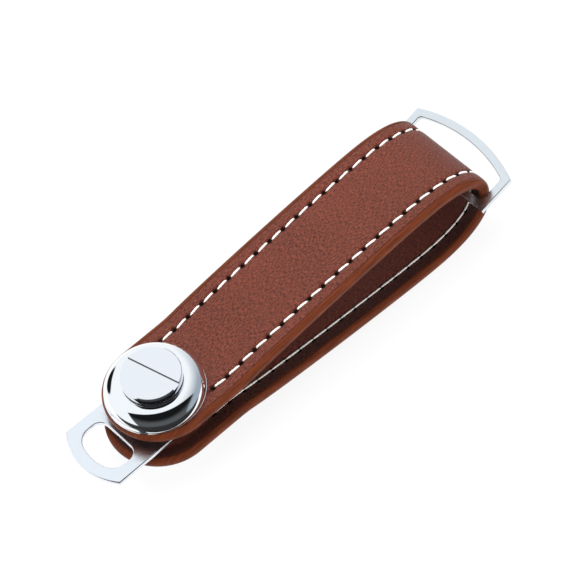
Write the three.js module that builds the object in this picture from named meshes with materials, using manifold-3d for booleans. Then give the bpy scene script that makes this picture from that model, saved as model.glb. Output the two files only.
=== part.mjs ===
// Leather key organizer. A lined leather strap is folded into a loop and clamped at its two ends
// by a slotted screw and a barrel post, each over a domed cap. A key plate swivels on the post
// between the bands, and a bowed ring hangs in the fold.
// Millimetres, +Z up. The origin is the middle of the post's foot, on the surface that the
// organizer lies on, and +X runs along the strap to the fold.
import * as THREE from "three";
import { mergeVertices } from "three/addons/utils/BufferGeometryUtils.js";
import Module from "manifold-3d";

// Strap
const STRAP_WIDTH = 25.2;
const OUTER_LEATHER_THICKNESS = 1.4;
const LINING_THICKNESS = 1.2;
const GLUE_LINE = 0.1;
const BEAD_SHARE = 0.42;
const KEY_GAP = 6.2;
const NOSE_X = 87.9;
const BELLY_X = 70;
const LAND_MARGIN = 0.4;
const BEND_LENGTH = 4;
const RISE_SLOPE = 0.2;
const RISE_PULL = 10;
const FOLD_FULLNESS = 2.4;
const BEND_STEPS = 3;
const RISE_STEPS = 12;
const FOLD_STEPS = 14;
const END_OVERHANG = 0.3;
const LOWER_END_REACH = 1.2;
const END_STEPS = 16;
const BEAD_STEPS = 3;

// Domed caps
const CAP_MARGIN = 1.45;
const CAP_LIP = 0.35;
const CAP_LIP_STEP = 0.2;
const DOME_HEIGHT = 4.0;
const DOME_FULLNESS = 3.4;
const DOME_STEPS = 10;
const COLLAR_RADIUS = 6.6;
const COLLAR_HEIGHT = 0.3;
const COLLAR_CHAMFER = 0.1;

// Barrel post
const POST_HEAD_RADIUS = 6.4;
const POST_HEAD_THICKNESS = 1.3;
const POST_HEAD_CHAMFER = 0.3;
const BARREL_RADIUS = 2.75;
const BARREL_BORE_RADIUS = 2.0;
const BARREL_SHORTFALL = 0.4;
const BARREL_CLEARANCE = 0.3;

// Lock screw and the friction washer under its head
const SCREW_HEAD_RADIUS = 6.7;
const SCREW_HEAD_HEIGHT = 2.0;
const SCREW_HEAD_CHAMFER = 0.2;
const SHANK_CLEARANCE = 0.1;
const SHANK_LENGTH = 12;
const SHANK_TIP_CHAMFER = 0.3;
const SHANK_END_ROOM = 1.0;
const SLOT_WIDTH = 2.1;
const SLOT_DEPTH = 1.0;
const SLOT_TURN = THREE.MathUtils.degToRad(15);
const WASHER_RADIUS = 5.8;
const WASHER_THICKNESS = 0.4;

// Spacers and key plate
const SPACER_RADIUS = 4.6;
const PLATE_PLAY = 0.1;
const PLATE_THICKNESS = 1.2;
const PLATE_HALF_WIDTH = 8.9;
const PLATE_LOOP_LENGTH = 7.4;
const PLATE_BULGE = 3.1;
const PLATE_FRAME = 2.8;
const PLATE_HOLE_MARGIN = 0.15;
const PLATE_HOLE_ROUNDING = 2.4;

// Ring in the fold
const RING_THICKNESS = 1.4;
const RING_BAND = 1.9;
const RING_REACH = 8.6;
const RING_BULGE = 3.1;
const RING_SIDE_CLEARANCE = 0.3;
const RING_FOLD_CLEARANCE = 0.3;
const RING_HOLE_ROUNDING = 0.8;
const RING_TILT = THREE.MathUtils.degToRad(16);

// Facets of round and bowed edges
const ROUND_SEGMENTS = 40;
const BORE_SEGMENTS = 24;
const BOW_SEGMENTS = 10;
const PLATE_EDGE_BREAK = 0.15;
const CUT_MARGIN = 1;
const MERGE_DISTANCE = 1e-4;

// Heights of the clamped stack, from the foot of the post upwards
const capHeight = DOME_HEIGHT + COLLAR_HEIGHT;
const strapThickness = OUTER_LEATHER_THICKNESS + GLUE_LINE + LINING_THICKNESS;
const lowerFaceZ = POST_HEAD_THICKNESS + capHeight;
const upperFaceZ = lowerFaceZ + strapThickness + KEY_GAP + strapThickness;
const middleZ = (lowerFaceZ + upperFaceZ) / 2;
const collarTopZ = upperFaceZ + capHeight;
const washerTopZ = collarTopZ + WASHER_THICKNESS;
const screwTopZ = washerTopZ + SCREW_HEAD_HEIGHT;
const screwTipZ = washerTopZ - SHANK_LENGTH;
const plateBottomZ = middleZ - PLATE_THICKNESS / 2;
const spacerThickness = (KEY_GAP - PLATE_THICKNESS) / 2 - PLATE_PLAY;

// Sizes shared by pieces that fit each other
const capRadius = STRAP_WIDTH / 2 - CAP_MARGIN;
const beadRounding = strapThickness * BEAD_SHARE;
const postHoleRadius = BARREL_RADIUS + BARREL_CLEARANCE;
const shankRadius = BARREL_BORE_RADIUS - SHANK_CLEARANCE;
const clampHalfHeight = upperFaceZ - middleZ;
const bellyHalfHeight = middleZ;
const landEndX = capRadius + LAND_MARGIN;
const upperEndX = -capRadius - END_OVERHANG;
const lowerEndX = upperEndX - LOWER_END_REACH;
const strapEndX = lowerEndX - CUT_MARGIN;
const plateHoleX = capRadius + PLATE_HOLE_MARGIN;
const plateReach = plateHoleX + PLATE_LOOP_LENGTH;
const ringInnerHalfWidth = STRAP_WIDTH / 2 + RING_SIDE_CLEARANCE;
const ringBarSweep = Math.hypot(RING_BAND, RING_THICKNESS) / 2;
const ringPivotX = NOSE_X - strapThickness - RING_FOLD_CLEARANCE - ringBarSweep;

const wasm = await Module();
wasm.setup();

// A closed geometry as a solid that can be cut and joined.
function toSolid(geometry) {
  const bare = geometry.clone();
  bare.deleteAttribute("normal");
  bare.deleteAttribute("uv");
  const merged = mergeVertices(bare, MERGE_DISTANCE);
  const index = merged.index.array;
  const triangles = [];
  for (let i = 0; i < index.length; i += 3) {
    const [a, b, c] = index.slice(i, i + 3);
    if (a !== b && b !== c && c !== a) triangles.push(a, b, c);
  }
  const mesh = new wasm.Mesh({
    numProp: 3,
    vertProperties: new Float32Array(merged.attributes.position.array),
    triVerts: new Uint32Array(triangles),
  });
  return new wasm.Manifold(mesh);
}

// A solid as a geometry with flat facets.
function toGeometry(solid) {
  const { vertProperties, triVerts } = solid.getMesh();
  const geometry = new THREE.BufferGeometry();
  geometry.setAttribute("position", new THREE.BufferAttribute(vertProperties, 3));
  geometry.setIndex(new THREE.BufferAttribute(triVerts, 1));
  const facets = geometry.toNonIndexed();
  facets.computeVertexNormals();
  return facets;
}

// A profile of [radius, height] pairs turned about the Z axis.
function turned(profile) {
  const points = profile.map(([radius, height]) => new THREE.Vector2(radius, height));
  return new THREE.LatheGeometry(points, ROUND_SEGMENTS).rotateX(Math.PI / 2);
}

// A flat ring with square edges, its lower face at height 0.
function flatRing(outerRadius, innerRadius, thickness) {
  return turned([
    [innerRadius, 0],
    [outerRadius, 0],
    [outerRadius, thickness],
    [innerRadius, thickness],
    [innerRadius, 0],
  ]);
}

// An outline raised to a plate with lightly broken edges, its lower face at height 0.
function plate(outline, thickness) {
  const geometry = new THREE.ExtrudeGeometry(outline, {
    depth: thickness - 2 * PLATE_EDGE_BREAK,
    bevelThickness: PLATE_EDGE_BREAK,
    bevelSize: PLATE_EDGE_BREAK,
    bevelOffset: -PLATE_EDGE_BREAK,
    bevelSegments: 1,
    curveSegments: BOW_SEGMENTS,
  });
  return geometry.translate(0, 0, PLATE_EDGE_BREAK);
}

// The arc through (cornerX, -halfWidth), (cornerX + bulge, 0) and (cornerX, halfWidth), or the arc
// parallel to it at a distance inside it.
function bow(cornerX, halfWidth, bulge, inside = 0) {
  const outerRadius = (halfWidth ** 2 + bulge ** 2) / (2 * bulge);
  const centreX = cornerX + bulge - outerRadius;
  const radius = outerRadius - inside;
  return { radius, centreX, edgeX: (y) => centreX + Math.sqrt(radius ** 2 - y ** 2) };
}

// Draws a bow from its -Y end to its +Y end.
function drawBow(path, arc, halfWidth) {
  const angle = Math.asin(halfWidth / arc.radius);
  path.absarc(arc.centreX, 0, arc.radius, -angle, angle, false);
}

// A hole with a straight inner edge, straight sides and a bowed outer edge, all corners rounded
// as far as its sides allow.
function bowedHole(innerX, halfWidth, arc, fullRounding) {
  const sideEndX = arc.edgeX(halfWidth);
  const rounding = Math.min(fullRounding, (sideEndX - innerX) / 2, halfWidth / 2);
  const bowEndY = halfWidth - rounding;
  const hole = new THREE.Path();
  hole.moveTo(innerX + rounding, -halfWidth);
  hole.lineTo(sideEndX - rounding, -halfWidth);
  hole.quadraticCurveTo(sideEndX, -halfWidth, arc.edgeX(bowEndY), -bowEndY);
  drawBow(hole, arc, bowEndY);
  hole.quadraticCurveTo(sideEndX, halfWidth, sideEndX - rounding, halfWidth);
  hole.lineTo(innerX + rounding, halfWidth);
  hole.absarc(innerX + rounding, bowEndY, rounding, Math.PI / 2, Math.PI, false);
  hole.absarc(innerX + rounding, -bowEndY, rounding, Math.PI, Math.PI * 1.5, false);
  return hole;
}

// The strap's outer face seen from the side, from the upper end round the fold to the lower end.
// It is level under the caps, bends up, rises in one sweep to the belly and rounds the fold as a
// superellipse. Heights are measured from the strap's middle plane.
function outerFace() {
  const riseX = landEndX + BEND_LENGTH;
  const riseHeight = clampHalfHeight + (BEND_LENGTH / 2) * RISE_SLOPE;
  const bend = new THREE.QuadraticBezierCurve(
    new THREE.Vector2(landEndX, clampHalfHeight),
    new THREE.Vector2(landEndX + BEND_LENGTH / 2, clampHalfHeight),
    new THREE.Vector2(riseX, riseHeight),
  );
  const rise = new THREE.CubicBezierCurve(
    new THREE.Vector2(riseX, riseHeight),
    new THREE.Vector2(riseX + RISE_PULL, riseHeight + RISE_PULL * RISE_SLOPE),
    new THREE.Vector2(BELLY_X - RISE_PULL, bellyHalfHeight),
    new THREE.Vector2(BELLY_X, bellyHalfHeight),
  );
  const upper = [
    new THREE.Vector2(strapEndX, clampHalfHeight),
    ...bend.getPoints(BEND_STEPS),
    ...rise.getPoints(RISE_STEPS).slice(1),
  ];
  for (let i = 1; i < FOLD_STEPS; i += 1) {
    const angle = (Math.PI / 2) * (i / FOLD_STEPS);
    const along = Math.sin(angle) ** (2 / FOLD_FULLNESS);
    const across = Math.cos(angle) ** (2 / FOLD_FULLNESS);
    upper.push(new THREE.Vector2(BELLY_X + (NOSE_X - BELLY_X) * along, bellyHalfHeight * across));
  }
  const lower = upper.map((point) => new THREE.Vector2(point.x, -point.y)).reverse();
  return [...upper, new THREE.Vector2(NOSE_X, 0), ...lower];
}

// A line of points moved square to itself, towards the inside of the loop.
function inset(line, depth) {
  return line.map((point, i) => {
    const before = line[Math.max(i - 1, 0)];
    const after = line[Math.min(i + 1, line.length - 1)];
    const along = after.clone().sub(before).normalize();
    return new THREE.Vector2(point.x + along.y * depth, point.y - along.x * depth);
  });
}

// The loop between two depths below the strap's outer face, its long edges rounded by an amount.
function strapLoop(fromDepth, toDepth, rounding) {
  const face = outerFace();
  const section = new THREE.Shape([...inset(face, toDepth), ...inset(face, fromDepth).reverse()]);
  const loop = new THREE.ExtrudeGeometry(section, {
    depth: STRAP_WIDTH - 2 * rounding,
    bevelEnabled: rounding > 0,
    bevelThickness: rounding,
    bevelSize: rounding,
    bevelOffset: -rounding,
    bevelSegments: BEAD_STEPS,
  });
  loop.translate(0, 0, rounding - STRAP_WIDTH / 2);
  loop.rotateX(Math.PI / 2);
  loop.translate(0, 0, middleZ);
  return toSolid(loop);
}

// One leather layer, cut from the strap with its beaded edges and rounded ends.
function strapLayer(fromDepth, toDepth) {
  const strap = strapLoop(0, strapThickness, beadRounding).intersect(roundedEnds());
  return toGeometry(strapLoop(fromDepth, toDepth, 0).intersect(strap).subtract(boltHole()));
}

// The strap's outline from above as a block between two heights: a half round at the lock, and open
// past the fold.
function endBlock(endX, fromZ, toZ) {
  const half = STRAP_WIDTH / 2;
  const centreX = endX + half;
  const outline = new THREE.Shape();
  outline.moveTo(centreX, half + CUT_MARGIN);
  outline.lineTo(centreX, half);
  outline.absarc(centreX, 0, half, Math.PI / 2, Math.PI * 1.5, false);
  outline.lineTo(centreX, -half - CUT_MARGIN);
  outline.lineTo(NOSE_X + CUT_MARGIN, -half - CUT_MARGIN);
  outline.lineTo(NOSE_X + CUT_MARGIN, half + CUT_MARGIN);
  const block = new THREE.ExtrudeGeometry(outline, {
    depth: toZ - fromZ,
    bevelEnabled: false,
    curveSegments: END_STEPS,
  });
  return toSolid(block.translate(0, 0, fromZ));
}

// Both ends of the strap. The lower band reaches a little past the upper one.
function roundedEnds() {
  const overlap = KEY_GAP / 4;
  const upper = endBlock(upperEndX, middleZ - overlap, 2 * middleZ + CUT_MARGIN);
  const lower = endBlock(lowerEndX, -CUT_MARGIN, middleZ + overlap);
  return upper.add(lower);
}

// The hole through both bands for the barrel post.
function boltHole() {
  const length = upperFaceZ - lowerFaceZ + 2 * CUT_MARGIN;
  const hole = new THREE.CylinderGeometry(postHoleRadius, postHoleRadius, length, BORE_SEGMENTS);
  return toSolid(hole.rotateX(Math.PI / 2).translate(0, 0, middleZ));
}

// A domed cap with its rim at height 0: a thin lip, a steep wall that rounds over into a flat top,
// and a low collar.
function domedCap() {
  const wallRadius = capRadius - CAP_LIP_STEP;
  const profile = [
    [postHoleRadius, 0],
    [capRadius, 0],
    [capRadius, CAP_LIP],
  ];
  for (let i = 0; i <= DOME_STEPS; i += 1) {
    const angle = (Math.PI / 2) * (i / DOME_STEPS);
    const reach = Math.max(Math.cos(angle), 0) ** (2 / DOME_FULLNESS);
    const climb = Math.sin(angle) ** (2 / DOME_FULLNESS);
    profile.push([
      COLLAR_RADIUS + (wallRadius - COLLAR_RADIUS) * reach,
      CAP_LIP + (DOME_HEIGHT - CAP_LIP) * climb,
    ]);
  }
  profile.push(
    [COLLAR_RADIUS, capHeight - COLLAR_CHAMFER],
    [COLLAR_RADIUS - COLLAR_CHAMFER, capHeight],
    [postHoleRadius, capHeight],
    [postHoleRadius, 0],
  );
  return turned(profile);
}

// The barrel post: a flat round head below, and a barrel with a blind bore open at the top.
function barrelPost() {
  const barrelTopZ = collarTopZ - BARREL_SHORTFALL;
  const boreFloorZ = screwTipZ - SHANK_END_ROOM;
  return turned([
    [0, 0],
    [POST_HEAD_RADIUS - POST_HEAD_CHAMFER, 0],
    [POST_HEAD_RADIUS, POST_HEAD_CHAMFER],
    [POST_HEAD_RADIUS, POST_HEAD_THICKNESS],
    [BARREL_RADIUS, POST_HEAD_THICKNESS],
    [BARREL_RADIUS, barrelTopZ],
    [BARREL_BORE_RADIUS, barrelTopZ],
    [BARREL_BORE_RADIUS, boreFloorZ],
    [0, boreFloorZ],
  ]);
}

// The lock screw: a plain shank and a disc head with broken edges and a coin slot.
function lockScrew() {
  const head = turned([
    [0, screwTipZ],
    [shankRadius - SHANK_TIP_CHAMFER, screwTipZ],
    [shankRadius, screwTipZ + SHANK_TIP_CHAMFER],
    [shankRadius, washerTopZ],
    [SCREW_HEAD_RADIUS - SCREW_HEAD_CHAMFER, washerTopZ],
    [SCREW_HEAD_RADIUS, washerTopZ + SCREW_HEAD_CHAMFER],
    [SCREW_HEAD_RADIUS, screwTopZ - SCREW_HEAD_CHAMFER],
    [SCREW_HEAD_RADIUS - SCREW_HEAD_CHAMFER, screwTopZ],
    [0, screwTopZ],
  ]);
  const slotLength = 2 * (SCREW_HEAD_RADIUS + CUT_MARGIN);
  const slot = new THREE.BoxGeometry(SLOT_WIDTH, slotLength, 2 * SLOT_DEPTH);
  slot.rotateZ(SLOT_TURN).translate(0, 0, screwTopZ);
  return toGeometry(toSolid(head).subtract(toSolid(slot)));
}

// The key plate: an eye round the post, straight sides and a bowed end with a D-shaped hole.
// It is drawn with its bowed end towards +X and turned about the post by half a turn.
function keyPlate() {
  const outerBow = bow(plateReach, PLATE_HALF_WIDTH, PLATE_BULGE);
  const holeBow = bow(plateReach, PLATE_HALF_WIDTH, PLATE_BULGE, PLATE_FRAME);
  const outline = new THREE.Shape();
  outline.moveTo(0, -PLATE_HALF_WIDTH);
  outline.lineTo(plateReach, -PLATE_HALF_WIDTH);
  drawBow(outline, outerBow, PLATE_HALF_WIDTH);
  outline.absarc(0, 0, PLATE_HALF_WIDTH, Math.PI / 2, Math.PI * 1.5, false);
  const eye = new THREE.Path();
  eye.absarc(0, 0, postHoleRadius, 0, Math.PI * 2, false);
  const loop = bowedHole(plateHoleX, PLATE_HALF_WIDTH - PLATE_FRAME, holeBow, PLATE_HOLE_ROUNDING);
  outline.holes.push(eye, loop);
  return plate(outline, PLATE_THICKNESS).rotateZ(Math.PI);
}

// The ring in the fold: a bar across the strap, two legs past its edges and a bowed outer side.
// It is drawn flat about the middle of the bar.
function foldRing() {
  const halfWidth = ringInnerHalfWidth + RING_BAND;
  const outerBow = bow(RING_REACH, halfWidth, RING_BULGE);
  const holeBow = bow(RING_REACH, halfWidth, RING_BULGE, RING_BAND);
  const outline = new THREE.Shape();
  outline.moveTo(-RING_BAND / 2, -halfWidth);
  outline.lineTo(RING_REACH, -halfWidth);
  drawBow(outline, outerBow, halfWidth);
  outline.lineTo(-RING_BAND / 2, halfWidth);
  outline.holes.push(bowedHole(RING_BAND / 2, ringInnerHalfWidth, holeBow, RING_HOLE_ROUNDING));
  return plate(outline, RING_THICKNESS).translate(0, 0, -RING_THICKNESS / 2);
}

function finish(color, roughness, metalness) {
  return new THREE.MeshStandardMaterial({ color, roughness, metalness });
}

function piece(name, geometry, material) {
  const mesh = new THREE.Mesh(geometry, material);
  mesh.name = name;
  return mesh;
}

const organizer = new THREE.Group();

const liningDepth = OUTER_LEATHER_THICKNESS + GLUE_LINE;
organizer.add(
  piece("outer_leather", strapLayer(0, OUTER_LEATHER_THICKNESS), finish(0x824b3c, 0.6, 0)),
  piece("inner_lining", strapLayer(liningDepth, strapThickness), finish(0x4a2318, 0.75, 0)),
);

const upperCap = piece("upper_cap", domedCap(), finish(0xe2e6ea, 0.08, 1));
upperCap.position.z = upperFaceZ;
const lowerCap = piece("lower_cap", domedCap(), finish(0xe2e6ea, 0.08, 1));
lowerCap.rotation.x = Math.PI;
lowerCap.position.z = lowerFaceZ;
organizer.add(upperCap, lowerCap);

const washer = piece(
  "friction_washer",
  flatRing(WASHER_RADIUS, postHoleRadius, WASHER_THICKNESS),
  finish(0x141414, 0.8, 0),
);
washer.position.z = collarTopZ;
organizer.add(
  piece("barrel_post", barrelPost(), finish(0xd8dce0, 0.12, 1)),
  piece("lock_screw", lockScrew(), finish(0xe8ebef, 0.06, 1)),
  washer,
);

const spacer = flatRing(SPACER_RADIUS, postHoleRadius, spacerThickness);
const lowerSpacer = piece("lower_spacer", spacer, finish(0xc9ccd0, 0.3, 1));
lowerSpacer.position.z = lowerFaceZ + strapThickness;
const upperSpacer = piece("upper_spacer", spacer, finish(0xc9ccd0, 0.3, 1));
upperSpacer.position.z = upperFaceZ - strapThickness - spacerThickness;
const keyPlateMesh = piece("key_plate", keyPlate(), finish(0xe4e8ee, 0.1, 1));
keyPlateMesh.position.z = plateBottomZ;
organizer.add(lowerSpacer, upperSpacer, keyPlateMesh);

const ringHinge = new THREE.Group();
ringHinge.position.set(ringPivotX, 0, middleZ);
ringHinge.rotation.y = -RING_TILT;
ringHinge.add(piece("fold_ring", foldRing(), finish(0xe4e8ee, 0.1, 1)));
organizer.add(ringHinge);

export default organizer;
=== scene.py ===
"""Key organizer: a lined leather strap folded into a loop, clamped by a coin-slot screw between
two domed caps, with a swivelling key plate at the lock and a bowed ring in the fold."""

import math

import bmesh
import bpy
import numpy as np
from mathutils import Matrix, Vector
from mathutils.geometry import tessellate_polygon


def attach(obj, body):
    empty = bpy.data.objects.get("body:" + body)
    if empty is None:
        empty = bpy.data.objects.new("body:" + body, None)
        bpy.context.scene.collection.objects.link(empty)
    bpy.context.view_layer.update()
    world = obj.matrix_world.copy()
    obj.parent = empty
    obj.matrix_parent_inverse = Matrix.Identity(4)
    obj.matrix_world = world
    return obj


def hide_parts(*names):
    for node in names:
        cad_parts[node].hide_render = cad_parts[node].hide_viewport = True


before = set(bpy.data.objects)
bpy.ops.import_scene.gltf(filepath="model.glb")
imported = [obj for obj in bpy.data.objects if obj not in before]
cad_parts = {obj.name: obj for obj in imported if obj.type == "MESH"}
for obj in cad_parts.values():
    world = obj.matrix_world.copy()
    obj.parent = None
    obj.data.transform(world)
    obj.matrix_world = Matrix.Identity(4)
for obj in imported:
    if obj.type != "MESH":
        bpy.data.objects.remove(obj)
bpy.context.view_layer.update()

MM = 0.001

# Strap: half width, layers, and the side view of its outer face measured from the middle plane.
HALF_WIDTH = 12.6 * MM
LEATHER_DEPTH = 1.4 * MM
LINING_START = 1.5 * MM
STRAP_DEPTH = 2.7 * MM
BEAD_START = 11.5 * MM
END_CENTRE_X = 1.15 * MM
LOWER_END_REACH = 1.2 * MM
MIDDLE_Z = 11.4 * MM
CLAMP_HEIGHT = 5.8 * MM
LAND_END_X = 11.55 * MM
BEND_LENGTH = 4.0 * MM
RISE_SLOPE = 0.2
RISE_PULL = 10.0 * MM
BELLY_X = 70.0 * MM
BELLY_HEIGHT = 11.4 * MM
NOSE_X = 87.9 * MM
FOLD_FULLNESS = 2.4

# Seams: two rows of stitching along the long edges.
ROW_Y = 8.6 * MM
STITCH_PITCH = 4.1 * MM
STITCH_WIDTH = 0.55 * MM
STITCH_HEIGHT = 0.46 * MM
STITCH_SHARE = 0.76
STITCH_SLANT = 0.15 * MM
BOBBIN_WIDTH = 0.42 * MM
BOBBIN_HEIGHT = 0.36 * MM
BOBBIN_SHARE = 1.0
NEEDLE_RISE = 0.1 * MM
NEEDLE_PLUNGE = 0.42 * MM
BOBBIN_RISE = 0.34 * MM
BOBBIN_PLUNGE = 0.04 * MM
UNSEWN_LENGTH = 14 * MM
GROOVE_DEPTH = 0.3 * MM
GROOVE_REACH = 0.5 * MM
HOLE_DEPTH = 0.6 * MM
HOLE_REACH = 0.46 * MM

# Lock: heights along the bolt's axis and radii.
LOWER_FACE_Z = 5.6 * MM
UPPER_FACE_Z = 17.2 * MM
CAP_RADIUS = 11.15 * MM
CAP_LIP = 0.35 * MM
CAP_LIP_ROUNDING = (0.1 * MM, 0.15 * MM)
CAP_SHOULDER = 11.04 * MM
DOME_HEIGHT = 4.22 * MM
DOME_FULLNESS = 2.3
COLLAR_RADIUS = 6.6 * MM
COLLAR_ROUNDING = 0.08 * MM
CAP_HEIGHT = 4.3 * MM
BORE_RADIUS = 3.05 * MM
BORE_LENGTH = 30 * MM
WASHER_RADIUS = 6.66 * MM
WASHER_Z = (21.5 * MM, 21.9 * MM)
WASHER_ROUNDING = 0.12 * MM
SPACER_RADIUS = 4.6 * MM
LOWER_SPACER_Z = (8.3 * MM, 10.7 * MM)
UPPER_SPACER_Z = (12.1 * MM, 14.5 * MM)
SPACER_ROUNDING = 0.15 * MM
POST_HEAD_RADIUS = 6.4 * MM
POST_HEAD_TOP = 1.3 * MM
POST_HEAD_ROUNDING = 0.3 * MM
BARREL_RADIUS = 2.75 * MM
BARREL_BORE = 2.0 * MM
BARREL_TOP = 21.1 * MM
BARREL_FLOOR = 8.9 * MM
HEAD_RADIUS = 6.7 * MM
HEAD_Z = (21.9 * MM, 23.9 * MM)
HEAD_CHAMFER = 0.14 * MM
HEAD_EDGE = 0.07 * MM
HEAD_FOOT_ROUNDING = 0.15 * MM
SHANK_RADIUS = 1.9 * MM
SHANK_TIP = 9.9 * MM
SHANK_CHAMFER = 0.3 * MM
SLOT_HALF_WIDTH = 1.05 * MM
SLOT_FLOOR = 23.42 * MM
SLOT_TURN = math.radians(15)

# Plates: the key plate at the lock and the ring in the fold.
PLATE_THICKNESS = 1.2 * MM
PLATE_HALF_WIDTH = 8.9 * MM
PLATE_REACH = 18.7 * MM
PLATE_BULGE = 3.1 * MM
PLATE_FRAME = 2.8 * MM
PLATE_HOLE_X = 11.3 * MM
PLATE_HOLE_ROUNDING = 2.4 * MM
RING_THICKNESS = 1.4 * MM
RING_BAND = 1.9 * MM
RING_REACH = 8.6 * MM
RING_BULGE = 3.1 * MM
RING_INNER_HALF_WIDTH = 12.9 * MM
RING_HOLE_ROUNDING = 0.8 * MM
RING_TILT = math.radians(16)
RING_PIVOT_X = 83.719958 * MM
PLATE_EDGE = 0.18 * MM

# Camera, as read from the photograph: angles, roll, focal length in pixels and place.
IMAGE_SIZE = 576
AZIMUTH = math.radians(-33.5)
ELEVATION = math.radians(55.4)
ROLL = math.radians(-11.0)
FOCAL_PIXELS = 2795.0
SENSOR = 36.0
CAMERA_PLACE = (-152.37 * MM, -287.88 * MM, 515.0 * MM)

# Stage: level directions as the camera sees them, the floor, and the darkness that metal mirrors.
CAMERA_RIGHT = (0.834, -0.552, 0.0)
CAMERA_SIDE = (-0.552, -0.834, 0.0)
LAMP_AIM = (0.03, 0, 0.01)
FLOOR_HALF_SIZE = 350 * MM
FLOOR_DROP = 0.02 * MM
FLOOR_FRONT = (23.8 * MM, 24.3 * MM)
OPENING_DARK = (0.008, 0.009, 0.01, 1.0)
EDGE_PAINT = (0.124, 0.027, 0.009)


def grid_quads(rows, columns, rows_closed=False, columns_closed=False):
    """Quads of a rows x columns grid of points, and the grid step (row, column) of each corner."""
    i, j = np.meshgrid(
        np.arange(rows if rows_closed else rows - 1),
        np.arange(columns if columns_closed else columns - 1),
        indexing="ij",
    )
    i, j = i.ravel(), j.ravel()
    steps = np.stack([[i, j], [i + 1, j], [i + 1, j + 1], [i, j + 1]]).transpose(2, 0, 1)
    quads = (steps[:, :, 0] % rows) * columns + steps[:, :, 1] % columns
    return quads, steps


def build(name, points, faces, material, attributes=None, uv=None, crease=40, merge=1e-6):
    """A closed mesh object from points and faces: doubles merged, faces outward, smooth shaded."""
    mesh = bpy.data.meshes.new(name)
    corners = np.asarray(points, float).reshape(-1, 3)
    mesh.from_pydata(corners.tolist(), [], [list(map(int, f)) for f in faces])
    for key, values in (attributes or {}).items():
        layer = mesh.attributes.new(key, "FLOAT", "POINT")
        layer.data.foreach_set("value", np.asarray(values, np.float32).ravel())
    if uv is not None:
        layer = mesh.uv_layers.new(name="along")
        layer.data.foreach_set("uv", np.asarray(uv, np.float32).ravel())
    work = bmesh.new()
    work.from_mesh(mesh)
    bmesh.ops.remove_doubles(work, verts=work.verts, dist=merge)
    bmesh.ops.dissolve_degenerate(work, edges=work.edges, dist=merge)
    bmesh.ops.recalc_face_normals(work, faces=work.faces)
    work.to_mesh(mesh)
    work.free()
    mesh.polygons.foreach_set("use_smooth", np.ones(len(mesh.polygons), bool))
    mesh.set_sharp_from_angle(angle=math.radians(crease))
    mesh.materials.append(material)
    piece = bpy.data.objects.new(name, mesh)
    bpy.context.scene.collection.objects.link(piece)
    return piece


def place(piece, body, slot, *nodes):
    """Lets a piece ride on a body and stand for CAD nodes. The slot is not used."""
    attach(piece, body)
    if nodes:
        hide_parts(*nodes)


# Materials.


def start_material(name):
    material = bpy.data.materials.new(name)
    material.use_nodes = True
    tree = material.node_tree
    return material, tree, tree.nodes["Principled BSDF"]


def add(tree, kind, inputs=None, **settings):
    """Adds a node, sets its properties, and fills its inputs with constants or links."""
    node = tree.nodes.new(kind)
    for key, value in settings.items():
        setattr(node, key, value)
    for key, value in (inputs or {}).items():
        socket = node.inputs[key]
        if isinstance(value, bpy.types.NodeSocket):
            tree.links.new(value, socket)
        else:
            socket.default_value = value
    return node


def math_node(tree, operation, first, second=0.0, third=0.0):
    return add(
        tree, "ShaderNodeMath", {0: first, 1: second, 2: third}, operation=operation
    ).outputs[0]


def mix_colour(tree, factor, first, second):
    """Colour between first and second; the node's colour sockets are found by number."""
    node = add(tree, "ShaderNodeMix", data_type="RGBA")
    for index, value in ((0, factor), (6, first), (7, second)):
        if isinstance(value, bpy.types.NodeSocket):
            tree.links.new(value, node.inputs[index])
        else:
            node.inputs[index].default_value = value
    return node.outputs[2]


def spread(tree, value, low, high, to_low=0.0, to_high=1.0):
    """Maps low..high to to_low..to_high, held at the ends."""
    return add(
        tree,
        "ShaderNodeMapRange",
        {"Value": value, "From Min": low, "From Max": high, "To Min": to_low, "To Max": to_high},
    ).outputs["Result"]


def object_coords(tree):
    return add(tree, "ShaderNodeTexCoord").outputs["Object"]


def noise(tree, coords, scale, detail=2.0, roughness=0.5):
    return add(
        tree,
        "ShaderNodeTexNoise",
        {"Vector": coords, "Scale": scale, "Detail": detail, "Roughness": roughness},
    ).outputs["Fac"]


def strap_coords(tree, along, across):
    """Own coordinates of the strap in millimetres, stretched: run along it and place across it."""
    uv = add(tree, "ShaderNodeUVMap", uv_map="along").outputs["UV"]
    return add(tree, "ShaderNodeMapping", {"Vector": uv, "Scale": (along, across, 1.0)}).outputs["Vector"]


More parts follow.
